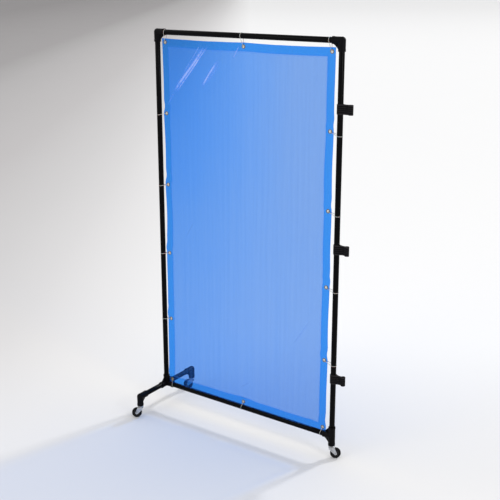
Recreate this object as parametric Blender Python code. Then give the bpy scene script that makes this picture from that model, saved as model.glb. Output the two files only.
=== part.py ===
"""Welding curtain screen: a tube frame on three swivel castors that holds a blue PVC curtain.

Metres, +Z up. The origin is on the floor, under the middle of the frame, in the frame's own plane.
+X runs from the two-legged foot on the left to the single castor on the right, and -Y is the front.
"""

import math

import bmesh
import bpy
from mathutils import Euler, Matrix, Vector

# ---------------------------------------------------------------- driving dimensions

# Frame, between the tubes' centre lines
FRAME_WIDTH = 1.000
FRAME_HEIGHT = 1.800
LEG_REACH = 0.207            # from the left post's axis to a leg's castor axis
TUBE_DIAMETER = 0.0254
TUBE_WALL = 0.0015
GAP = 0.0003                 # between pieces that touch

# Moulded fittings
SOCKET_WALL = 0.0030
ARM_LENGTH = 0.0455          # from where the axes cross to a socket's mouth
TUBE_STOP = 0.0020           # material between the crossing bore and a tube's end
GUSSET_SET_BACK = 0.0055     # from a socket's mouth to the end of its gusset
GUSSET_THICKNESS = 0.0080
CORNER_BALL_PROUD = 0.0002   # how far an elbow's rounded corner stands over its arms

# Swivel castors
WHEEL_DIAMETER = 0.0500
WHEEL_WIDTH = 0.0180
TYRE_THICKNESS = 0.0080
TYRE_SHOULDER = 0.0025
HUB_WEB_INSET = 0.0020       # from the tyre's side to the hub's web
HUB_BOSS_DIAMETER = 0.0120
TRAIL = 0.0190               # from the swivel axis to the axle
AXLE_DIAMETER = 0.0060
AXLE_HEAD_DIAMETER = 0.0100
AXLE_HEAD_HEIGHT = 0.0030
FORK_PLATE = 0.0020
FORK_SIDE_CLEARANCE = 0.0015
FORK_CROWN_CLEARANCE = 0.0025
FORK_CROWN_THICKNESS = 0.0025
FORK_CROWN_HALF_LENGTH = 0.0140
FORK_AXLE_BOSS_RADIUS = 0.0068
RACE_DIAMETER = 0.0280
RACE_TOP_DIAMETER = 0.0240
RACE_HEIGHT = 0.0074
STEM_DIAMETER = 0.0100
STEM_END_CLEARANCE = 0.0031  # over the stem, in its blind hole
INSERT_FLANGE_THICKNESS = 0.0035
INSERT_END_CLEARANCE = 0.0015  # from an insert's top to the end of its socket
INSERT_ROOF = 0.0030         # over the stem's blind hole
LEFT_CASTOR_TURN = math.radians(213.0)
RIGHT_CASTOR_TURN = math.radians(33.0)

# Curtain
SHEET_THICKNESS = 0.0006
HEM_THICKNESS = 0.0012
HEM_WIDTH = 0.0380
HEM_STEP = 0.0005
CORNER_CLEARANCE = 0.0008    # from the curtain's corners to the gussets beside them
CURTAIN_LEAN = 0.0065        # how far forward its lower edge hangs

# Grommets
GROMMET_BORE = 0.0100
GROMMET_BARREL_WALL = 0.0007
GROMMET_DIAMETER = 0.0190
GROMMET_FLANGE = 0.0007
GROMMET_ROWS = 6
GROMMET_PAST_SOCKET = 0.0010  # from a socket's mouth to a corner grommet's axis
END_SPACE_SHORTER = 0.0145    # the first and last spaces between rows are this much shorter

# Cable ties
TIE_WIDTH = 0.0025
TIE_THICKNESS = 0.0011
TIE_TURN_RADIUS = 0.0022     # of the band's middle where it passes through a grommet
TIE_SOCKET_CLEARANCE = 0.0005  # from a socket's mouth to a tie's head
TIE_DROP_LEFT = 0.0100       # how far a tie's ring sits below its grommet, on the left post
TIE_DROP_RIGHT = 0.0160
TIE_LEAN = 0.0110            # how far left of its grommet a ring sits on a rail
TIE_HEAD_LENGTH = 0.0048
TIE_HEAD_WIDTH = 0.0046
TIE_HEAD_HEIGHT = 0.0034

# Joining loops on the right post
STRAP_HEIGHT = 0.0430
STRAP_THICKNESS = 0.0025
STRAP_REACH = 0.0610         # from the post's axis to the loop's outer end
STRAP_NECK = 0.0340          # from the post's axis to where the two webs are sewn together
STRAP_EYE_DIAMETER = 0.0210
STRAP_NECK_HALF_GAP = 0.0007
STRAP_NECK_SEAM = 0.0035     # half the length of the seam at the neck
STRAP_PAST_ROW = 0.0900      # from an inner grommet row to the loop beyond it
STRAP_RISE = 0.0085          # all three loops sit this far above that spacing

# Facets
TUBE_SIDES = 24
WHEEL_SIDES = 32
SMALL_SIDES = 16
GROMMET_SIDES = 12
BALL_RINGS = 12
TIE_RING_STEPS = 14          # round a tube
TIE_TURN_STEPS = 6           # through a grommet
STRAP_HUG_STEPS = 18         # round the post
STRAP_EYE_STEPS = 12
STRAP_NECK_STEPS = 4
AXLE_BOSS_STEPS = 8
SMOOTH_ANGLE = math.radians(35.0)
CUT_PAST = 0.0100            # how far a cutter runs past the face that it opens
MERGE_DISTANCE = 0.000001

# ---------------------------------------------------------------- worked out from them

TUBE_RADIUS = TUBE_DIAMETER / 2
BORE_RADIUS = TUBE_RADIUS + GAP
FITTING_RADIUS = BORE_RADIUS + SOCKET_WALL
TUBE_SEAT = FITTING_RADIUS + TUBE_STOP
GUSSET_REACH = ARM_LENGTH - GUSSET_SET_BACK

WHEEL_RADIUS = WHEEL_DIAMETER / 2
CROWN_UNDERSIDE = WHEEL_DIAMETER + FORK_CROWN_CLEARANCE
CROWN_TOP = CROWN_UNDERSIDE + FORK_CROWN_THICKNESS
RACE_TOP = CROWN_TOP + RACE_HEIGHT
INSERT_BOTTOM = RACE_TOP + GAP
SOCKET_MOUTH = INSERT_BOTTOM + INSERT_FLANGE_THICKNESS + GAP
INSERT_LENGTH = ARM_LENGTH - TUBE_SEAT - INSERT_END_CLEARANCE
INSERT_TOP = SOCKET_MOUTH + INSERT_LENGTH
STEM_TOP = INSERT_TOP - INSERT_ROOF - STEM_END_CLEARANCE
RAIL_HEIGHT = SOCKET_MOUTH + ARM_LENGTH
TOP_HEIGHT = RAIL_HEIGHT + FRAME_HEIGHT
LEFT = -FRAME_WIDTH / 2
RIGHT = FRAME_WIDTH / 2

CURTAIN_INSET = (FITTING_RADIUS + GUSSET_REACH) / 2 + CORNER_CLEARANCE
CURTAIN_WIDTH = FRAME_WIDTH - 2 * CURTAIN_INSET
CURTAIN_TOP = TOP_HEIGHT - CURTAIN_INSET
CURTAIN_BOTTOM = RAIL_HEIGHT + FITTING_RADIUS
CURTAIN_HEIGHT = CURTAIN_TOP - CURTAIN_BOTTOM
GROMMET_EDGE = ARM_LENGTH + GROMMET_PAST_SOCKET - CURTAIN_INSET
GROMMET_X = CURTAIN_WIDTH / 2 - GROMMET_EDGE
HANG = Matrix.Translation((0, 0, CURTAIN_TOP)) @ Matrix.Rotation(
    -math.asin(CURTAIN_LEAN / CURTAIN_HEIGHT), 4, "X")


def grommet_drops():
    """How far below the curtain's top edge each row of grommets lies, from the lowest row up."""
    span = CURTAIN_HEIGHT - 2 * GROMMET_EDGE
    pitch = (span + 2 * END_SPACE_SHORTER) / (GROMMET_ROWS - 1)
    inner = [GROMMET_EDGE + pitch - END_SPACE_SHORTER + pitch * row for row in range(GROMMET_ROWS - 2)]
    return [CURTAIN_HEIGHT - GROMMET_EDGE] + inner[::-1] + [GROMMET_EDGE]


ROW_DROPS = grommet_drops()

# ---------------------------------------------------------------- tools


def clear_scene():
    """Removes whatever the scene starts with."""
    for old in list(bpy.data.objects):
        bpy.data.objects.remove(old, do_unlink=True)


def finish(name, colour, roughness, metallic=0.0, alpha=1.0):
    """A material with one colour."""
    made = bpy.data.materials.new(name)
    made.use_nodes = True
    shader = made.node_tree.nodes["Principled BSDF"]
    shader.inputs["Base Color"].default_value = (*colour, 1.0)
    shader.inputs["Roughness"].default_value = roughness
    shader.inputs["Metallic"].default_value = metallic
    shader.inputs["Alpha"].default_value = alpha
    return made


def to_mesh(shape, name):
    """Turns a bmesh into a mesh whose round sides are shaded smooth."""
    bmesh.ops.recalc_face_normals(shape, faces=shape.faces)
    mesh = bpy.data.meshes.new(name)
    shape.to_mesh(mesh)
    shape.free()
    mesh.shade_smooth()
    mesh.set_sharp_from_angle(angle=SMOOTH_ANGLE)
    return mesh


def place(name, mesh, finish_used, location=(0, 0, 0), rotation=(0, 0, 0), parent=None):
    """Adds an object with its own material."""
    made = bpy.data.objects.new(name, mesh)
    bpy.context.collection.objects.link(made)
    if finish_used is not None:
        made.data.materials.append(finish_used)
    made.location = location
    made.rotation_euler = rotation
    made.parent = parent
    return made


def empty(name, location, rotation=(0, 0, 0), parent=None):
    """A joint's centre, or another frame that pieces are placed in."""
    made = bpy.data.objects.new(name, None)
    bpy.context.collection.objects.link(made)
    made.location = location
    made.rotation_euler = rotation
    made.parent = parent
    return made


def combine(target, tool_mesh, operation, rotation=(0, 0, 0), location=(0, 0, 0)):
    """Adds a hidden tool beside the target and joins it to the target or cuts it out."""
    tool = place(f"{target.name}_tool_{len(target.modifiers) + 1}", tool_mesh, None,
                 location, rotation, target)
    tool.hide_render = True
    tool.display_type = "WIRE"
    step = target.modifiers.new(operation.lower(), "BOOLEAN")
    step.operation = operation
    step.solver = "EXACT"
    step.object = tool


def turned(name, outline, sides, closed=True, first_angle=0.0):
    """Spins an outline of (radius, height) points about Z. An open outline ends on the axis."""
    shape = bmesh.new()
    turn = Matrix.Rotation(first_angle, 3, "Z")
    points = [shape.verts.new(turn @ Vector((radius, 0, height))) for radius, height in outline]
    pairs = list(zip(points, points[1:]))
    if closed:
        pairs.append((points[-1], points[0]))
    edges = [shape.edges.new(pair) for pair in pairs]
    bmesh.ops.spin(shape, geom=points + edges, cent=(0, 0, 0), axis=(0, 0, 1),
                   angle=math.tau, steps=sides, use_merge=True)
    bmesh.ops.remove_doubles(shape, verts=shape.verts, dist=MERGE_DISTANCE)
    return to_mesh(shape, name)


def rod(name, radius, start, end, sides):
    """A solid rod along Z."""
    return turned(name, [(0, start), (radius, start), (radius, end), (0, end)], sides, closed=False)


def prism(name, outline, low, high):
    """Extrudes an outline in the XY plane from one height to another."""
    shape = bmesh.new()
    face = shape.faces.new([shape.verts.new((x, y, low)) for x, y in outline])
    swept = bmesh.ops.extrude_face_region(shape, geom=[face])
    moved = [item for item in swept["geom"] if isinstance(item, bmesh.types.BMVert)]
    bmesh.ops.translate(shape, verts=moved, vec=(0, 0, high - low))
    return to_mesh(shape, name)


def block(name, size, centre):
    """A box."""
    shape = bmesh.new()
    bmesh.ops.create_cube(shape, size=1.0)
    bmesh.ops.scale(shape, verts=shape.verts, vec=size)
    bmesh.ops.translate(shape, verts=shape.verts, vec=centre)
    return to_mesh(shape, name)


def arc(centre, radius, start, end, steps):
    """Points on an arc, in degrees, both ends included."""
    angles = [math.radians(start + (end - start) * step / steps) for step in range(steps + 1)]
    return [(centre[0] + radius * math.cos(a), centre[1] + radius * math.sin(a)) for a in angles]


def belt_outline(near_radius, far_radius, distance, near_steps, far_steps):
    """The outline of a belt around a circle at the origin and a second one along X."""
    lean = math.degrees(math.asin((near_radius - far_radius) / distance))
    far = arc((distance, 0), far_radius, lean - 90, 90 - lean, far_steps)
    near = arc((0, 0), near_radius, 90 - lean, 270 + lean, near_steps)
    return far + near


# ---------------------------------------------------------------- frame

ALONG = {
    "up": (0, 0, 0),
    "down": (math.pi, 0, 0),
    "right": (0, math.pi / 2, 0),
    "left": (0, -math.pi / 2, 0),
    "rear": (-math.pi / 2, 0, 0),
    "front": (math.pi / 2, 0, 0),
}
OPPOSITE = {"up": "down", "down": "up", "left": "right", "right": "left", "front": "rear", "rear": "front"}
DIRECTION = {
    "up": Vector((0, 0, 1)),
    "down": Vector((0, 0, -1)),
    "right": Vector((1, 0, 0)),
    "left": Vector((-1, 0, 0)),
    "rear": Vector((0, 1, 0)),
    "front": Vector((0, -1, 0)),
}


def tube(name, corner, direction, span):
    """A tube that runs between two fittings, seated in both."""
    length = span - 2 * TUBE_SEAT
    inner = TUBE_RADIUS - TUBE_WALL
    outline = [(inner, 0), (TUBE_RADIUS, 0), (TUBE_RADIUS, length), (inner, length)]
    start = Vector(corner) + DIRECTION[direction] * TUBE_SEAT
    mesh = turned(name, outline, TUBE_SIDES)
    return place(name, mesh, finish(f"{name}_paint", (0.018, 0.018, 0.020), 0.38, 0.2), start,
                 ALONG[direction])


def gusset_rotation(first, second):
    """Turns X onto the first arm's direction and Y onto the second's."""
    x_axis = DIRECTION[first]
    y_axis = DIRECTION[second]
    return Matrix((x_axis, y_axis, x_axis.cross(y_axis))).transposed().to_euler()


def fitting(name, corner, arms, gussets, round_corner=False):
    """A moulded fitting: a socket for each arm, and a web between the arms of each gusset."""
    plastic = finish(f"{name}_plastic", (0.022, 0.022, 0.024), 0.55)

    def barrel(arm):
        """The outside of one arm, or of two arms in line."""
        start = -ARM_LENGTH if OPPOSITE[arm] in arms else 0
        return rod(f"{name}_{arm}", FITTING_RADIUS, start, ARM_LENGTH, TUBE_SIDES)

    body = place(name, barrel(arms[0]), plastic, corner, ALONG[arms[0]])
    back = body.rotation_euler.to_matrix().inverted()

    def inside(rotation):
        """A rotation in the screen's frame as the body's own frame has it."""
        return (back @ rotation.to_matrix()).to_euler()

    for number, arm in enumerate(arms):
        if number > 0 and OPPOSITE[arm] not in arms[:number]:
            combine(body, barrel(arm), "UNION", inside(Euler(ALONG[arm])))
    if round_corner:
        half_turn = [math.pi * step / BALL_RINGS for step in range(BALL_RINGS + 1)]
        ball = FITTING_RADIUS + CORNER_BALL_PROUD
        outline = [(ball * math.sin(a), -ball * math.cos(a)) for a in half_turn]
        combine(body, turned(f"{name}_ball", outline, TUBE_SIDES, closed=False), "UNION")
    triangle = [(0, 0), (GUSSET_REACH, 0), (GUSSET_REACH, FITTING_RADIUS),
                (FITTING_RADIUS, GUSSET_REACH), (0, GUSSET_REACH)]
    for first_arm, second_arm in gussets:
        mesh = prism(f"{name}_web", triangle, -GUSSET_THICKNESS / 2, GUSSET_THICKNESS / 2)
        combine(body, mesh, "UNION", inside(gusset_rotation(first_arm, second_arm)))
    for arm in arms:
        bore = rod(f"{name}_{arm}_bore", BORE_RADIUS, TUBE_SEAT - GAP, ARM_LENGTH + CUT_PAST, TUBE_SIDES)
        combine(body, bore, "DIFFERENCE", inside(Euler(ALONG[arm])))
    return body


def build_frame():
    """Four tubes and four fittings around the curtain, and two legs at the left foot."""
    low_left = (LEFT, 0, RAIL_HEIGHT)
    low_right = (RIGHT, 0, RAIL_HEIGHT)
    top_left = (LEFT, 0, TOP_HEIGHT)
    top_right = (RIGHT, 0, TOP_HEIGHT)
    front_end = (LEFT, -LEG_REACH, RAIL_HEIGHT)
    rear_end = (LEFT, LEG_REACH, RAIL_HEIGHT)
    tube("left_post", low_left, "up", FRAME_HEIGHT)
    tube("right_post", low_right, "up", FRAME_HEIGHT)
    tube("top_rail", top_left, "right", FRAME_WIDTH)
    tube("bottom_rail", low_left, "right", FRAME_WIDTH)
    tube("front_leg", low_left, "front", LEG_REACH)
    tube("rear_leg", low_left, "rear", LEG_REACH)
    fitting("top_left_elbow", top_left, ["down", "right"], [("down", "right")], True)
    fitting("top_right_elbow", top_right, ["down", "left"], [("down", "left")], True)
    fitting("foot_fitting", low_left, ["up", "right", "front", "rear"],
            [("up", "right"), ("up", "front"), ("up", "rear"), ("right", "front"), ("right", "rear")])
    fitting("bottom_right_tee", low_right, ["up", "down", "left"], [("up", "left"), ("down", "left")])
    fitting("front_leg_elbow", front_end, ["down", "rear"], [("down", "rear")], True)
    fitting("rear_leg_elbow", rear_end, ["down", "front"], [("down", "front")], True)


# ---------------------------------------------------------------- castors


def castor_insert(name):
    """The plug in the fitting's socket, with a blind hole for the fork's stem."""
    hole = STEM_DIAMETER / 2 + GAP
    flange_top = SOCKET_MOUTH - GAP
    top = INSERT_TOP
    outline = [(0, top), (TUBE_RADIUS, top), (TUBE_RADIUS, flange_top), (FITTING_RADIUS, flange_top),
               (FITTING_RADIUS, INSERT_BOTTOM), (hole, INSERT_BOTTOM), (hole, top - INSERT_ROOF),
               (0, top - INSERT_ROOF)]
    return turned(name, outline, TUBE_SIDES, closed=False)


def castor_fork(name, parent):
    """A pressed fork: one side outline swept across the wheel, slotted for it, with race and stem."""
    outer = WHEEL_WIDTH / 2 + FORK_SIDE_CLEARANCE + FORK_PLATE
    inner = WHEEL_WIDTH / 2 + FORK_SIDE_CLEARANCE
    boss = arc((TRAIL, WHEEL_RADIUS), FORK_AXLE_BOSS_RADIUS, 30, -150, AXLE_BOSS_STEPS)
    shoulder = CROWN_TOP - 2 * FORK_CROWN_THICKNESS
    side = [(-FORK_CROWN_HALF_LENGTH, CROWN_TOP), (FORK_CROWN_HALF_LENGTH, CROWN_TOP),
            (FORK_CROWN_HALF_LENGTH + FORK_PLATE, shoulder)] + boss + [(-FORK_CROWN_HALF_LENGTH, shoulder)]
    zinc = finish(f"{name}_zinc", (0.62, 0.63, 0.65), 0.32, 0.9)
    standing = (math.pi / 2, 0, 0)
    body = place(name, prism(name, side, -outer, outer), zinc, (0, 0, 0), standing, parent)
    flat = (-math.pi / 2, 0, 0)
    far = 2 * WHEEL_DIAMETER
    slot = block(f"{name}_slot", (2 * far, 2 * inner, far), (0, 0, CROWN_UNDERSIDE - far / 2))
    combine(body, slot, "DIFFERENCE", flat)
    stem = STEM_DIAMETER / 2
    outline = [(0, CROWN_TOP - GAP), (RACE_DIAMETER / 2 - GAP, CROWN_TOP - GAP),
               (RACE_DIAMETER / 2, CROWN_TOP + RACE_HEIGHT / 2), (RACE_TOP_DIAMETER / 2, RACE_TOP),
               (stem, RACE_TOP), (stem, STEM_TOP), (0, STEM_TOP)]
    combine(body, turned(f"{name}_race", outline, TUBE_SIDES, closed=False), "UNION", flat)
    hole = rod(f"{name}_hole", AXLE_DIAMETER / 2 + GAP, -2 * outer, 2 * outer, SMALL_SIDES)
    combine(body, hole, "DIFFERENCE", (0, 0, 0), (TRAIL, WHEEL_RADIUS, 0))
    return body


def castor_tyre(name):
    """A ring with chamfered shoulders, whose flats lie at the wheel's radius, one of them lowest."""
    flat = math.cos(math.pi / WHEEL_SIDES)
    outer = WHEEL_RADIUS / flat
    inner = WHEEL_RADIUS - TYRE_THICKNESS
    half = WHEEL_WIDTH / 2
    outline = [(inner, -half), (outer - TYRE_SHOULDER, -half), (outer, TYRE_SHOULDER - half),
               (outer, half - TYRE_SHOULDER), (outer - TYRE_SHOULDER, half), (inner, half)]
    return turned(name, outline, WHEEL_SIDES, first_angle=math.pi / WHEEL_SIDES)


def castor_hub(name):
    """The wheel's centre: a web inside the tyre, and a boss that runs on the axle."""
    bore = AXLE_DIAMETER / 2 + GAP
    rim = WHEEL_RADIUS - TYRE_THICKNESS - GAP
    boss = HUB_BOSS_DIAMETER / 2
    web = WHEEL_WIDTH / 2 - HUB_WEB_INSET
    end = WHEEL_WIDTH / 2 + FORK_SIDE_CLEARANCE - GAP
    outline = [(bore, -end), (boss, -end), (boss, -web), (rim, -web),
               (rim, web), (boss, web), (boss, end), (bore, end)]
    return turned(name, outline, TUBE_SIDES)


def castor_axle(name):
    """A rivet with a head outside each of the fork's legs."""
    shank = AXLE_DIAMETER / 2
    head = AXLE_HEAD_DIAMETER / 2
    inner = WHEEL_WIDTH / 2 + FORK_SIDE_CLEARANCE + FORK_PLATE + GAP
    end = inner + AXLE_HEAD_HEIGHT
    outline = [(0, -end), (head, -end), (head, -inner), (shank, -inner),
               (shank, inner), (head, inner), (head, end), (0, end)]
    return turned(name, outline, SMALL_SIDES, closed=False)


def build_castor(name, x, y, turn):
    """One swivel castor under the socket at x, y. The fork turns about Z, the wheel on its axle."""
    black = finish(f"{name}_insert_plastic", (0.03, 0.03, 0.032), 0.5)
    rubber = finish(f"{name}_tyre_rubber", (0.02, 0.02, 0.02), 0.7)
    dark = finish(f"{name}_hub_plastic", (0.035, 0.035, 0.038), 0.45)
    steel = finish(f"{name}_axle_steel", (0.55, 0.56, 0.58), 0.3, 0.9)
    place(f"{name}_insert", castor_insert(f"{name}_insert"), black, (x, y, 0))
    swivel = empty(f"{name}_swivel", (x, y, 0), (0, 0, turn))
    castor_fork(f"{name}_fork", swivel)
    on_axle = (math.pi / 2, 0, 0)
    wheel = empty(f"{name}_wheel", (TRAIL, 0, WHEEL_RADIUS), on_axle, swivel)
    place(f"{name}_tyre", castor_tyre(f"{name}_tyre"), rubber, parent=wheel)
    place(f"{name}_hub", castor_hub(f"{name}_hub"), dark, parent=wheel)
    place(f"{name}_axle", castor_axle(f"{name}_axle"), steel, (TRAIL, 0, WHEEL_RADIUS), on_axle, swivel)


# ---------------------------------------------------------------- curtain


def grommet_places():
    """Each grommet's name and its place in the curtain: across, and down from the top edge."""
    places = {}
    for row, drop in enumerate(ROW_DROPS):
        places[f"left_{row + 1}"] = (-GROMMET_X, drop)
        places[f"right_{row + 1}"] = (GROMMET_X, drop)
    places["bottom"] = (0.0, ROW_DROPS[0])
    places["top"] = (0.0, ROW_DROPS[-1])
    return places


def build_curtain(hang):
    """The sheet, thicker along its hems, with a hole for each grommet."""
    shape = bmesh.new()
    bmesh.ops.create_cube(shape, size=1.0)
    bmesh.ops.scale(shape, verts=shape.verts, vec=(CURTAIN_WIDTH, HEM_THICKNESS, CURTAIN_HEIGHT))
    bmesh.ops.translate(shape, verts=shape.verts, vec=(0, 0, -CURTAIN_HEIGHT / 2))
    for side in [face for face in shape.faces if abs(face.normal.y) > 0.5]:
        bmesh.ops.inset_region(shape, faces=[side], thickness=HEM_WIDTH)
        bmesh.ops.inset_region(shape, faces=[side], thickness=HEM_STEP,
                               depth=-(HEM_THICKNESS - SHEET_THICKNESS) / 2)
    pvc = finish("curtain_pvc", (0.16, 0.36, 0.87), 0.25, 0.0, 0.6)
    sheet = place("curtain", to_mesh(shape, "curtain"), pvc, parent=hang)
    hole_radius = GROMMET_BORE / 2 + GROMMET_BARREL_WALL + GAP
    for across, drop in grommet_places().values():
        hole = rod("curtain_hole", hole_radius, -HEM_THICKNESS, HEM_THICKNESS, GROMMET_SIDES)
        combine(sheet, hole, "DIFFERENCE", (math.pi / 2, 0, 0), (across, 0, -drop))


def build_grommets(hang):
    """Fourteen brass eyelets, each clenched over both faces of the hem."""
    bore = GROMMET_BORE / 2
    barrel = bore + GROMMET_BARREL_WALL
    groove = HEM_THICKNESS / 2 + GAP
    face = groove + GROMMET_FLANGE
    rim = GROMMET_DIAMETER / 2
    outline = [(bore, -face), (rim, -face), (rim, -groove), (barrel, -groove),
               (barrel, groove), (rim, groove), (rim, face), (bore, face)]
    for name, (across, drop) in grommet_places().items():
        brass = finish(f"grommet_{name}_brass", (0.75, 0.62, 0.36), 0.3, 0.9)
        mesh = turned(f"grommet_{name}", outline, GROMMET_SIDES)
        place(f"grommet_{name}", mesh, brass, (across, 0, -drop), (math.pi / 2, 0, 0), hang)


# ---------------------------------------------------------------- cable ties


def tie(name, tube_point, eye_point, along, shift):
    """A band from a grommet round a tube, with its locking head behind the tube.

    The band is a belt around two circles in the plane square to the tube. Its straight runs carry
    it along the tube by shift, from the grommet to the ring.
    """
    across = Vector(eye_point) - Vector(tube_point)
    across -= along * across.dot(along)
    distance = across.length
    ring = TUBE_RADIUS + GAP + TIE_THICKNESS / 2
    half = TIE_THICKNESS / 2
    outer = belt_outline(ring + half, TIE_TURN_RADIUS + half, distance, TIE_RING_STEPS, TIE_TURN_STEPS)
    inner = belt_outline(ring - half, TIE_TURN_RADIUS - half, distance, TIE_RING_STEPS, TIE_TURN_STEPS)
    shape = bmesh.new()
    rings = [[shape.verts.new((x, y, -TIE_WIDTH / 2)) for x, y in line] for line in (outer, inner)]
    count = len(outer)
    faces = [shape.faces.new((rings[0][i], rings[0][(i + 1) % count],
                              rings[1][(i + 1) % count], rings[1][i])) for i in range(count)]
    swept = bmesh.ops.extrude_face_region(shape, geom=faces)
    moved = [item for item in swept["geom"] if isinstance(item, bmesh.types.BMVert)]
    bmesh.ops.translate(shape, verts=moved, vec=(0, 0, TIE_WIDTH))
    sine = (ring - TIE_TURN_RADIUS) / distance
    near = ring * sine
    far = distance + TIE_TURN_RADIUS * sine
    for vert in shape.verts:
        share = min(max((vert.co.x - near) / (far - near), 0.0), 1.0)
        vert.co.z += shift * (1.0 - share)
    nylon = finish(f"{name}_nylon", (0.80, 0.78, 0.72), 0.4)
    x_axis = across.normalized()
    frame = Matrix((x_axis, along.cross(x_axis), along)).transposed().to_4x4()
    level = (Vector(eye_point) - Vector(tube_point)).dot(along)
    origin = Vector(tube_point) + along * level
    body = place(name, to_mesh(shape, name), nylon, origin, frame.to_euler())
    back = 1.0 if frame.col[1][1] > 0 else -1.0
    size = (TIE_HEAD_LENGTH, TIE_HEAD_HEIGHT, TIE_HEAD_WIDTH)
    centre = (0, back * (ring + TIE_HEAD_HEIGHT / 2), shift)
    combine(body, block(f"{name}_head", size, centre), "UNION")


def build_ties():
    """Corner and middle grommets are tied to the rails, the others to the posts."""
    socket_end = FRAME_WIDTH / 2 - ARM_LENGTH - TIE_SOCKET_CLEARANCE - TIE_HEAD_WIDTH / 2
    across_frame = Vector((1, 0, 0))
    upward = Vector((0, 0, 1))
    for name, (across, drop) in grommet_places().items():
        eye = HANG @ Vector((across, 0, -drop))
        if drop in (ROW_DROPS[0], ROW_DROPS[-1]):
            rail = RAIL_HEIGHT if drop == ROW_DROPS[0] else TOP_HEIGHT
            ring_x = max(across - TIE_LEAN, -socket_end)
            tie(f"tie_{name}", (0, 0, rail), eye, across_frame, ring_x - across)
        else:
            post = LEFT if across < 0 else RIGHT
            sag = TIE_DROP_LEFT if across < 0 else TIE_DROP_RIGHT
            tie(f"tie_{name}", (post, 0, 0), eye, upward, -sag)


# ---------------------------------------------------------------- joining loops


def strap(name, height):
    """A webbing loop: it hugs the post, is sewn together at its neck, and ends in an open eye."""
    hug = BORE_RADIUS
    eye = STRAP_EYE_DIAMETER / 2
    eye_centre = STRAP_REACH - eye
    neck = STRAP_NECK_HALF_GAP + STRAP_THICKNESS
    low = -STRAP_HEIGHT / 2
    high = STRAP_HEIGHT / 2
    webbing = finish(f"{name}_webbing", (0.025, 0.025, 0.028), 0.85)
    around_post = belt_outline(hug + STRAP_THICKNESS, neck, STRAP_NECK, STRAP_HUG_STEPS, STRAP_NECK_STEPS)
    body = place(name, prism(name, around_post, low, high), webbing, (RIGHT, 0, height))
    around_eye = belt_outline(eye, neck, eye_centre - STRAP_NECK, STRAP_EYE_STEPS, STRAP_NECK_STEPS)
    combine(body, prism(f"{name}_eye", around_eye, low, high), "UNION", (0, 0, math.pi),
            (eye_centre, 0, 0))
    reach = 2 * STRAP_HEIGHT
    wedge = STRAP_NECK - STRAP_NECK_SEAM
    post_hole = belt_outline(hug, STRAP_NECK_HALF_GAP, wedge, STRAP_HUG_STEPS, STRAP_NECK_STEPS)
    combine(body, prism(f"{name}_post_hole", post_hole, -reach, reach), "DIFFERENCE")
    eye_length = eye_centre - STRAP_NECK - STRAP_NECK_SEAM
    eye_hole = belt_outline(eye - STRAP_THICKNESS, STRAP_NECK_HALF_GAP, eye_length, STRAP_EYE_STEPS,
                            STRAP_NECK_STEPS)
    combine(body, prism(f"{name}_eye_hole", eye_hole, -reach, reach), "DIFFERENCE", (0, 0, math.pi),
            (eye_centre, 0, 0))


def build_straps():
    """Three loops on the right post, spaced from the grommet rows so that they miss the ties."""
    rows = [(HANG @ Vector((0, 0, -drop))).z for drop in ROW_DROPS]
    lower_row = rows[1]
    upper_row = rows[-2]
    strap("strap_lower", lower_row - STRAP_PAST_ROW + STRAP_RISE)
    strap("strap_middle", (lower_row + upper_row) / 2 + STRAP_RISE)
    strap("strap_upper", upper_row + STRAP_PAST_ROW + STRAP_RISE)


# ---------------------------------------------------------------- the whole screen


def main():
    clear_scene()
    build_frame()
    build_castor("front_castor", LEFT, -LEG_REACH, LEFT_CASTOR_TURN)
    build_castor("rear_castor", LEFT, LEG_REACH, LEFT_CASTOR_TURN)
    build_castor("right_castor", RIGHT, 0, RIGHT_CASTOR_TURN)
    hang = empty("curtain_hang", HANG.translation, HANG.to_euler())
    build_curtain(hang)
    build_grommets(hang)
    build_ties()
    build_straps()


main()
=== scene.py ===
"""Looks of the welding curtain screen: fine surfaces, finishes, floor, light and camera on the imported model.

Metres, +Z up. +X runs from the two-legged foot to the single castor, and -Y is the front.
"""

import math

import bmesh
import bpy
import numpy as np
from mathutils import Matrix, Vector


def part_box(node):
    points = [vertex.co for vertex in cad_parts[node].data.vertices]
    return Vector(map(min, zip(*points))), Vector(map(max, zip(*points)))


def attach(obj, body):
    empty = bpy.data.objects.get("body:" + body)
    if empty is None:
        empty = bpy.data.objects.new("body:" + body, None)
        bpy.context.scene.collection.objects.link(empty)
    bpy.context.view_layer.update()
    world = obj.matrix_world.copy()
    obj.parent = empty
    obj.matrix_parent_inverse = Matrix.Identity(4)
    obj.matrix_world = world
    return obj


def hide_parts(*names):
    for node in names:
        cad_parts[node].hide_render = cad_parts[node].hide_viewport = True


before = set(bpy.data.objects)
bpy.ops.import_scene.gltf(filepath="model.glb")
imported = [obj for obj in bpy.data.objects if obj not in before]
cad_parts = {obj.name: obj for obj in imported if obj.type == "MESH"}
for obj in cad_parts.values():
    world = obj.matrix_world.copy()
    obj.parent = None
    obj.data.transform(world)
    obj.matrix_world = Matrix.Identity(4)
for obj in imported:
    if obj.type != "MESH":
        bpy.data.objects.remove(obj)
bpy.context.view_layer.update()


# ================ camera

def put(name, data):
    """A new object in the scene."""
    made = bpy.data.objects.new(name, data)
    bpy.context.scene.collection.objects.link(made)
    return made


def place_camera():
    """Stands in front and to the right of the screen, a little above its top, looking down a little."""
    camera = put("camera", bpy.data.cameras.new("camera"))
    camera.location = (2.416, -3.360, 2.182)
    turn, tip = math.radians(35.32), math.radians(-15.66)
    camera.rotation_euler = (math.pi / 2 + tip, 0, turn)
    camera.data.sensor_width = 36
    camera.data.lens = 66.2
    camera.data.shift_y = -0.04
    camera.data.clip_start, camera.data.clip_end = 0.05, 500
    bpy.context.scene.camera = camera


place_camera()


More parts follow.
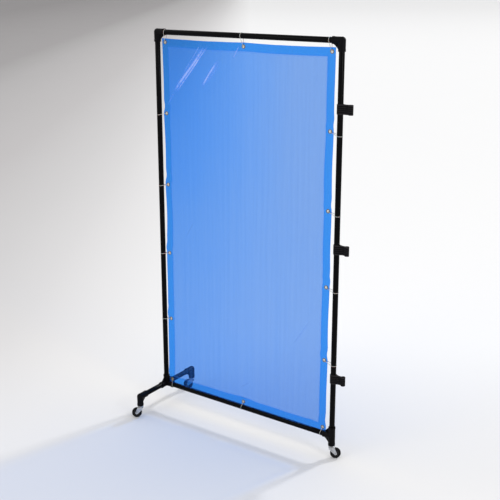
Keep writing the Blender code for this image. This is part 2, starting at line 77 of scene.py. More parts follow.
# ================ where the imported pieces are

def middle(node):
    """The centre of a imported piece's box."""
    low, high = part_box(node)
    return (np.array(low) + np.array(high)) / 2


LEFT, RIGHT = middle("left_post")[0], middle("right_post")[0]
RAIL, TOP = middle("bottom_rail")[2], middle("top_rail")[2]
LEG = abs(middle("front_castor_insert")[1])
TUBE = (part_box("left_post")[1].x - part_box("left_post")[0].x) / 2
SOCKET = TUBE + 0.0033          # outer radius of a fitting's socket
ARM = 0.0455                    # from where the axes cross to a socket's mouth
WHEEL = 0.025                   # wheel radius
TRAIL = 0.019                   # from the swivel's axis back to the axle
SHEET_LOW, SHEET_HIGH = (np.array(corner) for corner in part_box("curtain"))
HEM = 0.038                     # width of the doubled edges
GROMMETS = [f"{side}_{row}" for side in ("left", "right") for row in range(1, 7)] + ["bottom", "top"]
ROWS = np.array([middle(f"grommet_left_{row}")[2] for row in range(1, 7)])
COLUMNS = np.array([middle(f"grommet_{name}")[0] for name in ("left_1", "bottom", "right_1")])
LEAN = middle("grommet_left_1")[1] / (SHEET_HIGH[2] - ROWS[0])   # how far forward for each metre down


# ================ shapes

def lattice(rows, columns, wrap_rows=False, wrap_columns=False):
    """Quads over a grid of points: each joins a point to its next ones along both ways of the grid."""
    down, across = np.meshgrid(np.arange(rows if wrap_rows else rows - 1),
                               np.arange(columns if wrap_columns else columns - 1), indexing="ij")
    down2, across2 = (down + 1) % rows, (across + 1) % columns
    return np.stack([down * columns + across, down * columns + across2,
                     down2 * columns + across2, down2 * columns + across], -1).reshape(-1, 4)


def unit(vectors):
    """Each vector over its own length."""
    return vectors / np.linalg.norm(vectors, axis=-1, keepdims=True)


def arc(angle, radius, centre=(0, 0)):
    """Points of a circle: x = radius cos a, y = radius sin a, from its centre."""
    return np.stack([centre[0] + radius * np.cos(angle), centre[1] + radius * np.sin(angle)], 1)


def bow(t, start, pull, end):
    """A curve between two points that leans towards a third: (1-t)^2 A + 2t(1-t) B + t^2 C."""
    return (1 - t) ** 2 * start + 2 * t * (1 - t) * pull + t * t * end


def eased(corners, cut, steps, closed=False):
    """An outline whose corners are rounded: each is a bow from a point short of it to a point past it.
    The ends of an open outline stay."""
    points = np.asarray(corners, float)
    before, after = np.roll(points, 1, 0), np.roll(points, -1, 0)
    back, on = before - points, after - points
    back_long = np.linalg.norm(back, axis=1, keepdims=True)
    on_long = np.linalg.norm(on, axis=1, keepdims=True)
    cuts = np.broadcast_to(np.asarray(cut, float).reshape(-1, 1), (len(points), 1))
    start = points + back / back_long * np.minimum(cuts, back_long * 0.45)
    end = points + on / on_long * np.minimum(cuts, on_long * 0.45)
    t = np.linspace(0, 1, steps)[:, None, None]
    curves = bow(t, start, points, end).transpose(1, 0, 2)
    if closed:
        return curves.reshape(-1, points.shape[1])
    return np.concatenate([points[:1], curves[1:-1].reshape(-1, points.shape[1]), points[-1:]])


def turned(outline, sides=48, closed=False, radius_share=None):
    """An outline of (radius, height) carried round Z: x = radius cos a, y = radius sin a. The radius may
    also be multiplied by a share that depends on the angle and the outline's point."""
    outline = np.asarray(outline, float)
    angle = np.arange(sides) * 2 * math.pi / sides
    radius = np.repeat(outline[:, :1], sides, 1)
    if radius_share is not None:
        radius = radius * radius_share(angle[None, :], outline)
    points = np.stack([radius * np.cos(angle), radius * np.sin(angle),
                       np.repeat(outline[:, 1:], sides, 1)], -1)
    return points.reshape(-1, 3), lattice(len(outline), sides, closed, True)


def carried(path, section, side, closed=False):
    """A section of (out, along side) points carried along a path: point = path + out * normal + across *
    side, where the normal is square to the side and to the path's direction."""
    path, section = np.asarray(path, float), np.asarray(section, float)
    if closed:
        ahead = np.roll(path, -1, 0) - np.roll(path, 1, 0)
    else:
        ahead = np.gradient(path, axis=0)
    ahead = unit(ahead)
    side = np.broadcast_to(np.asarray(side, float), path.shape)
    side = unit(side - ahead * (side * ahead).sum(1, keepdims=True))
    normal = np.cross(ahead, side)
    points = path[:, None] + section[None, :, :1] * normal[:, None] + section[None, :, 1:2] * side[:, None]
    rows, columns = points.shape[:2]
    faces = [lattice(rows, columns, closed, True)]
    if not closed:
        faces += [np.arange(columns)[None], np.arange(columns)[None, ::-1] + (rows - 1) * columns]
    return points.reshape(-1, 3), faces


def slab(front, back, kept=None):
    """A closed plate between two grids of points, without the cells that aren't kept: both faces, and a
    wall along every edge that only one cell has."""
    rows, columns = front.shape[:2]
    cells = lattice(rows, columns)
    if kept is not None:
        cells = cells[kept.reshape(-1)]
    edges = np.concatenate([cells[:, [k, (k + 1) % 4]] for k in range(4)])
    key = np.sort(edges, 1)
    key = key[:, 0] * rows * columns + key[:, 1]
    _, first, count = np.unique(key, return_index=True, return_counts=True)
    rim = edges[first[count == 1]]
    shift = rows * columns
    wall = np.stack([rim[:, 1], rim[:, 0], rim[:, 0] + shift, rim[:, 1] + shift], 1)
    points = np.concatenate([front.reshape(-1, 3), back.reshape(-1, 3)])
    return points, [cells, cells[:, ::-1] + shift, wall]


def moved(shape, turn=None, to=(0, 0, 0)):
    """A shape turned by a 3 x 3 matrix, whose columns are its new axes, and then carried to a place."""
    points, faces = shape
    if turn is not None:
        points = points @ np.asarray(turn, float).T
    return points + np.asarray(to, float), faces


def axes(z, x=(1, 0, 0)):
    """The matrix whose third column is z, and whose first is x made square to it."""
    z = unit(np.asarray(z, float))
    x = np.asarray(x, float)
    if abs(x @ z) > 0.95:
        x = np.array([0.0, 1.0, 0.0])
    x = unit(x - z * (x @ z))
    return np.stack([x, np.cross(z, x), z], 1)


def about_z(angle):
    """The matrix of a turn about Z."""
    cos, sin = math.cos(angle), math.sin(angle)
    return np.array([[cos, -sin, 0], [sin, cos, 0], [0, 0, 1]])


def smoothstep(low, high, value):
    """0 below low, 1 above high, and 3t^2 - 2t^3 between them."""
    t = np.clip((value - low) / (high - low), 0, 1)
    return t * t * (3 - 2 * t)


def resampled(path, count):
    """A closed path with its points spread evenly along its length."""
    path = np.concatenate([path, path[:1]])
    run = np.concatenate([[0], np.cumsum(np.linalg.norm(np.diff(path, axis=0), axis=1))])
    at = np.linspace(0, run[-1], count, endpoint=False)
    return np.stack([np.interp(at, run, path[:, k]) for k in range(path.shape[1])], 1)


def bar(half_x, half_y, cut, steps=3):
    """The outline of a rectangle about its centre, with eased corners."""
    corners = [(-half_x, -half_y), (half_x, -half_y), (half_x, half_y), (-half_x, half_y)]
    return eased(corners, cut, steps, True)


def stepped(outline, levels):
    """An outline of (x, z) stacked up Y. Each level is a height and a share of the outline's size, and
    the first is closed."""
    levels, count = np.array(levels), len(outline)
    rings = outline[None] * levels[:, 1:, None]
    points = [rings[:, :, :1], np.repeat(levels[:, :1, None], count, 1), rings[:, :, 1:]]
    faces = [lattice(len(levels), count, False, True), np.arange(count)[None, ::-1]]
    return np.concatenate(points, -1).reshape(-1, 3), faces


SHARP_FROM = math.radians(40)   # an edge that bends more than this stays sharp
SAME_POINT = 0.0000005          # points nearer than this are one


def add(name, shapes, finish, body, nodes, marks=None):
    """Makes one piece of one or more shapes, merges its seams and turns its faces outwards. It rides on a
    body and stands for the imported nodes. marks are values on its points that its finish reads."""
    points, faces, start = [], [], 0
    for shape_points, shape_faces in shapes:
        groups = shape_faces if isinstance(shape_faces, list) else [shape_faces]
        points.append(shape_points)
        for group in groups:
            faces += (group + start).tolist()
        start += len(shape_points)
    mesh = bpy.data.meshes.new(name)
    mesh.from_pydata(np.concatenate(points).tolist(), [], faces)
    for mark, values in (marks or {}).items():
        layer = mesh.attributes.new(mark, "FLOAT", "POINT")
        layer.data.foreach_set("value", np.asarray(values, np.float32))
    work = bmesh.new()
    work.from_mesh(mesh)
    bmesh.ops.remove_doubles(work, verts=work.verts, dist=SAME_POINT)
    bmesh.ops.recalc_face_normals(work, faces=work.faces)
    work.to_mesh(mesh)
    work.free()
    mesh.shade_smooth()
    mesh.set_sharp_from_angle(angle=SHARP_FROM)
    mesh.materials.append(finish.material)
    piece = put(name, mesh)
    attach(piece, body)
    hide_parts(*nodes)
    return piece


# ================ finishes

class Field:
    """A value that changes over a surface. Sums with it add Math nodes to its finish."""

    def __init__(self, finish, socket):
        self.finish, self.socket = finish, socket

    def worked(self, operation, first, second=0.0):
        return self.finish.node("ShaderNodeMath", {"operation": operation}, {0: first, 1: second})

    def __add__(self, other):
        return self.worked("ADD", self, other)

    def __sub__(self, other):
        return self.worked("SUBTRACT", self, other)

    def __rsub__(self, other):
        return self.worked("SUBTRACT", other, self)

    def __mul__(self, other):
        return self.worked("MULTIPLY", self, other)

    def __truediv__(self, other):
        return self.worked("DIVIDE", self, other)

    __radd__, __rmul__ = __add__, __mul__

    def size(self):
        return self.worked("ABSOLUTE", self)

    def wave(self):
        return self.worked("SINE", self)

    def most(self, other):
        return self.worked("MAXIMUM", self, other)

    def least(self, other):
        return self.worked("MINIMUM", self, other)

    def fitted(self, low, high, new_low=0.0, new_high=1.0):
        """Low to high becomes new_low to new_high, smoothly, and stays between them."""
        return self.finish.node("ShaderNodeMapRange", {"interpolation_type": "SMOOTHSTEP"},
                                {0: self, 1: low, 2: high, 3: new_low, 4: new_high})


class Finish:
    """A material while it is made: its nodes, its main shader and the record's slot that it fills."""

    def __init__(self, name, slot, **fixed):
        self.slot = slot
        self.material = bpy.data.materials.new(name)
        self.material.use_nodes = True
        self.tree = self.material.node_tree
        self.shader = self.tree.nodes["Principled BSDF"]
        for socket, value in fixed.items():
            self.shader.inputs[socket.replace("_", " ")].default_value = value
        self.place = self.node("ShaderNodeTexCoord", output="Object")

    def node(self, kind, settings=None, sockets=None, output=0):
        """Any node: its settings first, then the values or links of its sockets."""
        made = self.tree.nodes.new(kind)
        for key, value in (settings or {}).items():
            if key == "stops":
                ramp = made.color_ramp
                ramp.elements.remove(ramp.elements[-1])
                ramp.elements[0].position, ramp.elements[0].color = value[0][0], (*value[0][1], 1)
                for position, colour in value[1:]:
                    ramp.elements.new(position).color = (*colour, 1)
            else:
                setattr(made, key, value)
        for key, value in (sockets or {}).items():
            if isinstance(value, Field):
                self.tree.links.new(value.socket, made.inputs[key])
            else:
                made.inputs[key].default_value = value
        return Field(self, made.outputs[output])

    def feed(self, **fields):
        """Links fields to the main shader."""
        for socket, field in fields.items():
            self.tree.links.new(field.socket, self.shader.inputs[socket.replace("_", " ")])

    def stretched(self, scale=(1, 1, 1), turn=(0, 0, 0)):
        """The surface's own coordinates, scaled and turned."""
        return self.node("ShaderNodeMapping", None, {"Vector": self.place, "Scale": scale, "Rotation": turn})

    def noise(self, scale, detail=3.0, rough=0.5, of=None, bend=0.0):
        return self.node("ShaderNodeTexNoise", None,
                         {"Vector": of or self.place, "Scale": scale, "Detail": detail, "Roughness": rough,
                          "Distortion": bend})

    def cells(self, scale, output="Distance"):
        return self.node("ShaderNodeTexVoronoi", None, {"Vector": self.place, "Scale": scale}, output)

    def part(self, axis, of=None):
        """One coordinate: 0, 1 or 2 for x, y or z."""
        return self.node("ShaderNodeSeparateXYZ", None, {0: of or self.place}, axis)

    def mark(self, name):
        """A value kept on the mesh's points."""
        return self.node("ShaderNodeAttribute", {"attribute_name": name}, None, "Fac")

    def mix(self, first, second, share):
        """A colour between two: share 0 gives the first."""
        first, second = (c if isinstance(c, Field) else (*c, 1) for c in (first, second))
        return self.node("ShaderNodeMix", {"data_type": "RGBA"}, {0: share, 6: first, 7: second}, 2)

    def bump(self, height, strength, distance):
        sockets = {"Height": height, "Strength": strength, "Distance": distance}
        return self.node("ShaderNodeBump", None, sockets, "Normal")

    def clear(self, colour):
        """A shader that only tints what is behind it."""
        return self.node("ShaderNodeBsdfTransparent", None, {"Color": (*colour, 1)})

    def blend(self, first, second, share):
        """A shader between two: share 0 gives the first."""
        return self.node("ShaderNodeMixShader", None, {0: share, 1: first, 2: second})


def powder_coat():
    """Black coat on steel tube: orange peel, dust and small chips."""
    f = Finish("black_powder_coat", "tube_paint", Specular_IOR_Level=0.035, Coat_Roughness=0.12)
    peel = f.noise(620, 2, 0.5)
    cloud = f.noise(9, 4, 0.6)
    fine = f.noise(140, 3, 0.6)
    chips = f.cells(75).fitted(0.035, 0.012) * f.noise(22, 2).fitted(0.60, 0.66)
    dust = cloud.fitted(0.45, 0.75) * fine.fitted(0.35, 0.7)
    black = f.mix((0.0009, 0.0009, 0.0012), (0.0052, 0.0050, 0.0049), dust * 0.8)
    f.feed(Base_Color=f.mix(black, (0.16, 0.155, 0.15), chips),
           Roughness=0.27 + cloud * 0.12 + fine * 0.08 + chips * 0.2,
           Coat_Weight=0.05 - dust * 0.04,
           Normal=f.bump(peel + chips * 1.5 + fine * 0.4, 0.22, 0.00016))
    return f


def moulded_plastic():
    """Black moulded fittings: a fine spark grain, flow marks and scuffs that turn grey."""
    f = Finish("black_moulded_plastic", "fitting_plastic", Specular_IOR_Level=0.07)
    grain = f.noise(1500, 2, 0.6)
    flow = f.noise(26, 3, 0.6, f.stretched((1, 1, 0.45)), 1.2)
    scuff_lines = f.noise(120, 3, 0.7, f.stretched((4, 4, 0.6), (0.4, 0.2, 0.7)))
    scuffs = scuff_lines.fitted(0.62, 0.72) * f.noise(30, 2).fitted(0.48, 0.6)
    black = f.mix((0.0012, 0.0011, 0.0016), (0.0044, 0.0041, 0.0055), flow.fitted(0.35, 0.7))
    f.feed(Base_Color=f.mix(black, (0.030, 0.029, 0.032), scuffs * 0.7),
           Roughness=0.42 + flow * 0.16 - scuffs * 0.08,
           Normal=f.bump(grain * 0.7 + scuffs + flow * 0.5, 0.35, 0.00012))
    return f


def plug_plastic():
    """Dark nylon plugs over the castors: fine grain, greasy smears and a little road dust."""
    f = Finish("dark_plug_plastic", "insert_plastic", Specular_IOR_Level=0.4)
    grain = f.noise(1100, 2, 0.5)
    smear = f.noise(90, 3, 0.6, f.stretched((1, 1, 3)))
    f.feed(Base_Color=f.mix((0.012, 0.012, 0.014), (0.040, 0.039, 0.038), smear.fitted(0.45, 0.75)),
           Roughness=0.36 + smear * 0.25,
           Normal=f.bump(grain + smear * 0.8, 0.3, 0.0001))
    return f


def zinc_plate():
    """Bright zinc on pressed steel: fine spangle, rolling lines, dull patches and a cool blue cast."""
    f = Finish("bright_zinc", "zinc", Metallic=1.0)
    spangle = f.cells(420, "Color")
    tone = f.part(0, spangle)
    rolling = f.noise(260, 3, 0.6, f.stretched((1, 1, 6)))
    dull = f.noise(55, 4, 0.65).fitted(0.42, 0.72)
    bright = f.mix((0.40, 0.42, 0.45), (0.66, 0.67, 0.69), tone)
    f.feed(Base_Color=f.mix(bright, (0.20, 0.195, 0.185), dull * 0.7),
           Roughness=0.20 + dull * 0.22 + rolling * 0.10,
           Normal=f.bump(rolling * 0.6 + tone * 0.3 + dull * 0.3, 0.25, 0.00008))
    return f


def rubber():
    """Black castor tyre: a fine tooth and dust picked up by the tread."""
    f = Finish("black_rubber", "tyre", Specular_IOR_Level=0.12)
    tooth = f.noise(900, 4, 0.7)
    dust = f.noise(160, 4, 0.65).fitted(0.45, 0.8)
    near_floor = f.part(2).fitted(0.030, 0.0)
    dusty = dust * (0.25 + near_floor * 0.3)
    f.feed(Base_Color=f.mix((0.0026, 0.0026, 0.0027), (0.040, 0.037, 0.033), dusty),
           Roughness=0.50 + tooth * 0.2 + dust * 0.1,
           Normal=f.bump(tooth + dust * 0.6, 0.4, 0.00015))
    return f


def wheel_plastic():
    """Dark wheel centre: faint mottle, pale dust in patches and a fine grain."""
    f = Finish("dark_wheel_plastic", "hub_plastic", Specular_IOR_Level=0.15)
    mottle = f.noise(70, 4, 0.6)
    grime = f.noise(240, 4, 0.7).fitted(0.5, 0.8)
    dark = f.mix((0.008, 0.008, 0.009), (0.022, 0.022, 0.023), mottle)
    f.feed(Base_Color=f.mix(dark, (0.090, 0.085, 0.078), grime * 0.4),
           Roughness=0.38 + mottle * 0.15 + grime * 0.15,
           Normal=f.bump(f.noise(700, 2) + grime, 0.25, 0.0001))
    return f


def brass():
    """Pale brass eyelets: a brown tarnish in patches and a fine rubbed texture."""
    f = Finish("pale_brass", "brass", Metallic=1.0)
    patch = f.noise(210, 4, 0.6).fitted(0.38, 0.7)
    rubbed = f.noise(620, 3, 0.6)
    f.feed(Base_Color=f.mix((0.30, 0.255, 0.175), (0.115, 0.080, 0.042), patch * 0.7),
           Roughness=0.22 + patch * 0.25 + rubbed * 0.08,
           Normal=f.bump(rubbed + patch * 0.5, 0.25, 0.00006))
    return f


def tie_nylon():
    """Natural nylon ties: milky, with faint flow lines, a warm cast and handling dirt."""
    f = Finish("natural_nylon", "nylon", Specular_IOR_Level=0.5, Subsurface_Weight=0.25,
               Subsurface_Scale=0.002)
    flow = f.noise(180, 3, 0.6, f.stretched((1, 1, 4)))
    dirt = f.noise(420, 3, 0.6).fitted(0.55, 0.8)
    milky = f.mix((0.36, 0.352, 0.335), (0.52, 0.507, 0.48), flow)
    f.feed(Base_Color=f.mix(milky, (0.18, 0.165, 0.14), dirt * 0.4),
           Roughness=0.30 + flow * 0.15,
           Normal=f.bump(flow + dirt * 0.5, 0.2, 0.00008))
    return f


def black_webbing_painted_edge_highlight():
    """Woven strap: ribs that run along it, paler rows, the weft crossing them, raised yarns, lint and a worn
    sheen, with a painted highlight along both its edges.
    """
    f = Finish("black_webbing_painted_edge_highlight", "webbing", Specular_IOR_Level=0.05, Sheen_Weight=0.03, Sheen_Roughness=0.4)
    along, across = f.mark("along"), f.mark("across")
    rib = (across * (2 * math.pi / 0.0031)).wave()
    band = (across * (2 * math.pi / 0.0086) + 1.2).wave().fitted(0.55, 0.95)
    # painted highlight along both edges of the strap
    selvedge_highlight = across.size().fitted(0.0185, 0.0205)
    weft = (along * (2 * math.pi / 0.0016) + rib * 1.6).wave()
    yarn = (across * (2 * math.pi / 0.00078) + along * 900.0).wave()
    lint = f.noise(700, 4, 0.7)
    worn = f.noise(60, 3, 0.6).fitted(0.45, 0.75)
    height = rib * 0.5 + weft * 0.32 + yarn * 0.12 + lint * 0.3
    black = f.mix((0.0006, 0.0006, 0.0008), (0.0085, 0.0083, 0.0098), height.fitted(-0.4, 1.0))
    # paler woven rows, and the painted highlight along the edges
    black = f.mix(black, (0.062, 0.056, 0.060), (band * 0.55).most(selvedge_highlight * 0.9) * lint.fitted(0.30, 0.60))
    f.feed(Base_Color=f.mix(black, (0.050, 0.048, 0.047), worn * lint.fitted(0.45, 0.75) * 0.5),
           Roughness=0.70 + lint * 0.2,
           Normal=f.bump(height + band * 0.5, 0.75, 0.00035))
    return f


def sewing_thread():
    """Bonded thread: twisted plies, a shade paler than the webbing."""
    f = Finish("black_thread", "webbing", Specular_IOR_Level=0.12)
    ply = (f.part(2) * 5200.0 + f.part(0) * 3800.0).wave()
    f.feed(Base_Color=f.mix((0.004, 0.004, 0.0045), (0.022, 0.022, 0.024), ply.fitted(-1, 1)),
           Roughness=0.5 + f.noise(800, 2) * 0.2,
           Normal=f.bump(ply, 0.5, 0.0001))
    return f


def from_line(across, up, start, end, width):
    """How near a point of the sheet is to a straight line of painted highlight: 1 on it and 0 past its width
    and its ends.
    """
    run = (end[0] - start[0], end[1] - start[1])
    long = math.hypot(*run)
    east, north = run[0] / long, run[1] / long
    along = (across - start[0]) * east + (up - start[1]) * north
    off = ((across - start[0]) * north - (up - start[1]) * east).size()
    ends = along.fitted(0, long * 0.25) * along.fitted(long, long * 0.75)
    return off.fitted(width, width * 0.2) * ends


# Painted highlights: pale, hazy lines along the film's folds.
CREASE_HIGHLIGHTS = [  # across, up, across, up, half width, strength
    (-0.412, 1.628, -0.204, 1.868, 0.0190, 0.52),
    (-0.412, 1.628, -0.213, 1.860, 0.0065, 0.85),
    (-0.398, 1.622, -0.222, 1.834, 0.0045, 0.85),
    (-0.350, 1.722, -0.236, 1.872, 0.0040, 0.60),
    (-0.300, 1.745, -0.190, 1.868, 0.0035, 0.70),
    (-0.244, 1.662, -0.134, 1.806, 0.0160, 0.45),
    (-0.234, 1.676, -0.148, 1.795, 0.0050, 0.85),
    (-0.205, 1.690, -0.132, 1.782, 0.0035, 0.50),
    (-0.062, 1.806, -0.022, 1.872, 0.0055, 0.75),
    (-0.455, 1.560, -0.398, 1.640, 0.0045, 0.45),
    (-0.020, 0.215, 0.040, 0.262, 0.0050, 0.25),
    (0.286, 0.520, 0.372, 0.655, 0.0060, 0.22),
    (-0.350, 0.930, -0.300, 1.010, 0.0050, 0.18),
]


def clear_vinyl():
    """Clear blue film. Light goes through it tinted, twice over at the hems, and a thin skin of haze,
    extrusion streaks and light scratches catches the light. Its tint is painted deeper towards the
    upper left, a painted shade, and pale hazy lines along its folds are painted highlights."""
    f = Finish("blue_vinyl_painted_shade_and_highlights", "pvc_sheet", Specular_IOR_Level=0.5, Coat_Roughness=0.08)
    across, up = f.part(0), f.part(2)
    hem, edge, weld = f.mark("hem"), f.mark("edge"), f.mark("weld")
    streaks = f.noise(7, 4, 0.6, f.stretched((9, 9, 0.14)))
    fine_streaks = f.noise(34, 3, 0.6, f.stretched((9, 9, 0.10)))
    cloud = f.noise(2.6, 3, 0.5)
    # painted highlight along the fold lines, broken up by noise
    crease_highlight = 0.0
    for east, north, east2, north2, width, strength in CREASE_HIGHLIGHTS:
        crease_highlight = from_line(across, up, (east, north), (east2, north2), width) * strength + crease_highlight
    crease_highlight = crease_highlight * f.noise(38, 4, 0.65).fitted(0.30, 0.55, 0.45, 1.0)
    scratches = f.noise(90, 2, 0.6, f.stretched((3.2, 3.2, 0.22), (0, 0.75, 0))).fitted(0.70, 0.76)
    scratches = scratches * f.noise(5, 2).fitted(0.45, 0.65)
    ripple = f.noise(5.5, 2, 0.5, f.stretched((1.6, 1.6, 0.35)))
    blue = f.mix((0.05, 0.27, 0.86), (0.16, 0.40, 0.90), streaks.fitted(0.35, 0.7))
    # the fold lines are painted pale: a painted highlight
    f.feed(Base_Color=f.mix(blue, (0.80, 0.89, 1.0), crease_highlight.least(1.0) * 0.95),
           Roughness=0.13 + fine_streaks * 0.10 + scratches * 0.2 + crease_highlight * 0.15,
           Normal=f.bump(ripple * 6.0 + fine_streaks * 0.25 + crease_highlight * 0.9 + weld * 0.5, 0.35, 0.0012))
    haze = 0.062 + streaks.fitted(0.35, 0.70) * 0.030 + fine_streaks.fitted(0.45, 0.75) * 0.024
    # the painted fold highlights also add haze
    haze = haze + crease_highlight * 0.46 + scratches * 0.06 + weld * 0.10 + edge * 0.10
    # painted shade: the tint is deeper towards the upper left and the top of the film; streaks and clouds then
    # vary it at random
    tone_and_painted_shade = across.fitted(0.42, -0.50) * up.fitted(0.50, 1.75, 0.38, 1.0)
    tone_and_painted_shade = tone_and_painted_shade + (streaks + fine_streaks + cloud - 1.5) * 0.22
    pale, deep = f.clear((0.490, 0.655, 0.915)), f.clear((0.300, 0.588, 0.999))
    body = f.blend(pale, deep, tone_and_painted_shade.most(0.0).least(1.0))
    seen_through = f.blend(body, f.clear((0.225, 0.550, 0.930)), hem)
    glow = f.node("ShaderNodeBsdfTranslucent", None, {"Color": (0.08, 0.34, 0.95, 1)})
    lit = f.blend(Field(f, f.shader.outputs[0]), glow, 0.45)
    skin = f.blend(seen_through, lit, haze.least(0.85))
    f.tree.links.new(skin.socket, f.tree.nodes["Material Output"].inputs["Surface"])
    return f


COAT, PLASTIC, PLUG, ZINC = powder_coat(), moulded_plastic(), plug_plastic(), zinc_plate()
RUBBER, CENTRE, BRASS, NYLON = rubber(), wheel_plastic(), brass(), tie_nylon()
WEBBING, THREAD, VINYL = black_webbing_painted_edge_highlight(), sewing_thread(), clear_vinyl()


# ================ frame

def tube(name):
    """A drawn tube with a wall, its ends eased: a closed outline turned about the tube's own axis."""
    low, high = (np.array(corner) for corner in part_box(name))
    centre, size = (low + high) / 2, high - low
    along = int(size.argmax())
    half, bore = size[along] / 2, TUBE - 0.0015
    outline = eased([(bore, -half), (TUBE, -half), (TUBE, half), (bore, half)], 0.0005, 3, True)
    add(name, [moved(turned(outline, 64, True), axes(np.eye(3)[along]), centre)], COAT, "frame", [name])


for tube_name in ("left_post", "right_post", "top_rail", "bottom_rail", "front_leg", "rear_leg"):
    tube(tube_name)


def socket(toward, corner):
    """A socket from a fitting's centre to its mouth: a barrel, a thicker collar at the mouth with eased
    edges, and the bore that the tube sits in."""
    outline = [(0, 0), (SOCKET - 0.0002, 0), (SOCKET - 0.0004, ARM - 0.0105), (SOCKET + 0.0005, ARM - 0.0090),
               (SOCKET + 0.0005, ARM), (TUBE + 0.0003, ARM), (TUBE + 0.0003, 0.020), (0, 0.020)]
    cuts = np.array([0.0004, 0.0004, 0.0012, 0.0012, 0.0011, 0.0008, 0.0004, 0.0004])
    return moved(turned(eased(outline, cuts, 5), 56), axes(toward), corner)


def ball(corner, radius):
    """The rounded outside of an elbow: a half circle turned about Z."""
    angle = np.linspace(-math.pi / 2, math.pi / 2, 25)
    outline = arc(angle, radius)
    outline[[0, -1], 0] = 0
    return moved(turned(outline, 56), None, corner)


def gusset(first, second, corner):
    """The web between two sockets. Its free edge is an arc that bows towards the corner, with a rounded
    bead carried along it, and the web itself is a thinner plate from the corner to that arc."""
    reach, near = ARM - 0.0060, SOCKET - 0.0025
    t = np.linspace(0, 1, 21)[:, None]
    ends = np.array([[reach, near], [near, reach]])
    pull = np.array([[near + 0.0105, near + 0.0105]])
    line = bow(t, ends[:1], pull, ends[1:])
    first, second = np.asarray(first, float), np.asarray(second, float)
    face = np.cross(first, second)
    edge = line[:, :1] * first + line[:, 1:] * second
    angle = np.linspace(0, 2 * math.pi, 20, endpoint=False)
    bead = np.stack([0.0022 * np.cos(angle), 0.0038 * np.sin(angle) * (1 + 0.12 * np.cos(2 * angle))], 1)
    rim = moved(carried(edge, bead, face), None, corner)
    spread = np.linspace(0, 1, 8)[None, :, None]
    plate = edge[:, None] * spread
    half = 0.0026 * face
    web = moved(slab(plate + half, plate - half), None, corner)
    return [rim, web]


UP, DOWN, EAST, WEST = (0, 0, 1), (0, 0, -1), (1, 0, 0), (-1, 0, 0)
FRONT, BACK = (0, -1, 0), (0, 1, 0)
FITTINGS = {
    "top_left_elbow": ((LEFT, 0, TOP), [DOWN, EAST], [(DOWN, EAST)]),
    "top_right_elbow": ((RIGHT, 0, TOP), [DOWN, WEST], [(DOWN, WEST)]),
    "foot_fitting": ((LEFT, 0, RAIL), [UP, EAST, FRONT, BACK],
                     [(UP, EAST), (UP, FRONT), (UP, BACK), (EAST, FRONT), (EAST, BACK)]),
    "bottom_right_tee": ((RIGHT, 0, RAIL), [UP, DOWN, WEST], [(UP, WEST), (DOWN, WEST)]),
    "front_leg_elbow": ((LEFT, -LEG, RAIL), [DOWN, BACK], [(DOWN, BACK)]),
    "rear_leg_elbow": ((LEFT, LEG, RAIL), [DOWN, FRONT], [(DOWN, FRONT)]),
}
for fitting_name, (at, arms, webs) in FITTINGS.items():
    parts = [socket(arm, at) for arm in arms] + [ball(at, SOCKET + 0.0001)]
    for pair in webs:
        parts += gusset(*pair, at)
    add(fitting_name, parts, PLASTIC, "frame", [fitting_name])


# ================ castors

def fork():
    """A pressed fork. A strip runs down one cheek, over the crown and down the other; its front and rear
    edges follow the cheek's outline, it dishes outwards round the axle and its edges are turned a little."""
    half, plate, boss, bend, columns = 0.0105, 0.0020, 0.0068, 0.0045, 15
    crown, low = 0.0540, WHEEL - boss + 0.0001
    side, drop = boss * math.cos(math.pi / 6), boss / 2
    down = np.linspace(low, crown - bend, 22)
    around = np.linspace(0, math.pi / 2, 7)[1:]
    over = np.linspace(0, 1, 9)[1:-1]
    side_y = half + plate / 2
    curve = arc(around, bend, (side_y - bend, crown - bend))
    run = np.concatenate([np.stack([np.full_like(down, side_y), down], 1), curve])
    flat = np.stack([(side_y - bend) * (1 - 2 * over), np.full_like(over, crown)], 1)
    run = np.concatenate([run, flat, run[::-1] * (-1, 1)])
    z = run[:, 1]
    dip = np.sqrt(np.clip(boss ** 2 - (z - WHEEL) ** 2, 0, None))
    rear = np.interp(z, [WHEEL - drop, 0.050], [TRAIL - side, -0.014])
    rear = np.where(z < WHEEL - drop, TRAIL - dip, rear)
    fore = np.interp(z, [WHEEL + drop, 0.050, 0.0501], [TRAIL + side, 0.0158, 0.0150])
    fore = np.where(z < WHEEL + drop, TRAIL + dip, fore)
    share = np.linspace(0, 1, columns)[None]
    x = rear[:, None] * (1 - share) + fore[:, None] * share
    path = np.stack([x, np.repeat(run[:, :1], columns, 1), np.repeat(z[:, None], columns, 1)], -1)
    tangent = np.gradient(run, axis=0)
    normal = unit(np.stack([np.zeros(len(run)), tangent[:, 1], -tangent[:, 0]], 1))
    off = np.hypot(x - TRAIL, z[:, None] - WHEEL)
    dish = 0.0006 * (1 - smoothstep(0.0052, 0.0072, off)) * (z[:, None] < 0.040)
    at_edges = smoothstep(0.86, 1.0, share) + smoothstep(0.14, 0.0, share)
    lip = 0.0007 * at_edges * smoothstep(0.0185, 0.026, z)[:, None]
    out = path + normal[:, None] * (dish + lip + plate / 2)[..., None]
    into = path + normal[:, None] * (dish + lip - plate / 2)[..., None]
    cup = eased([(0, 0.0547), (0.0136, 0.0547), (0.0141, 0.0562), (0.0141, 0.0585), (0.0128, 0.0590),
                 (0.0128, 0.0600), (0.0134, 0.0604), (0.0134, 0.0618), (0.0120, 0.0624), (0.0050, 0.0624),
                 (0.0050, 0.0864), (0, 0.0864)], 0.0006, 4)
    return [slab(out, into), turned(cup, 48)]


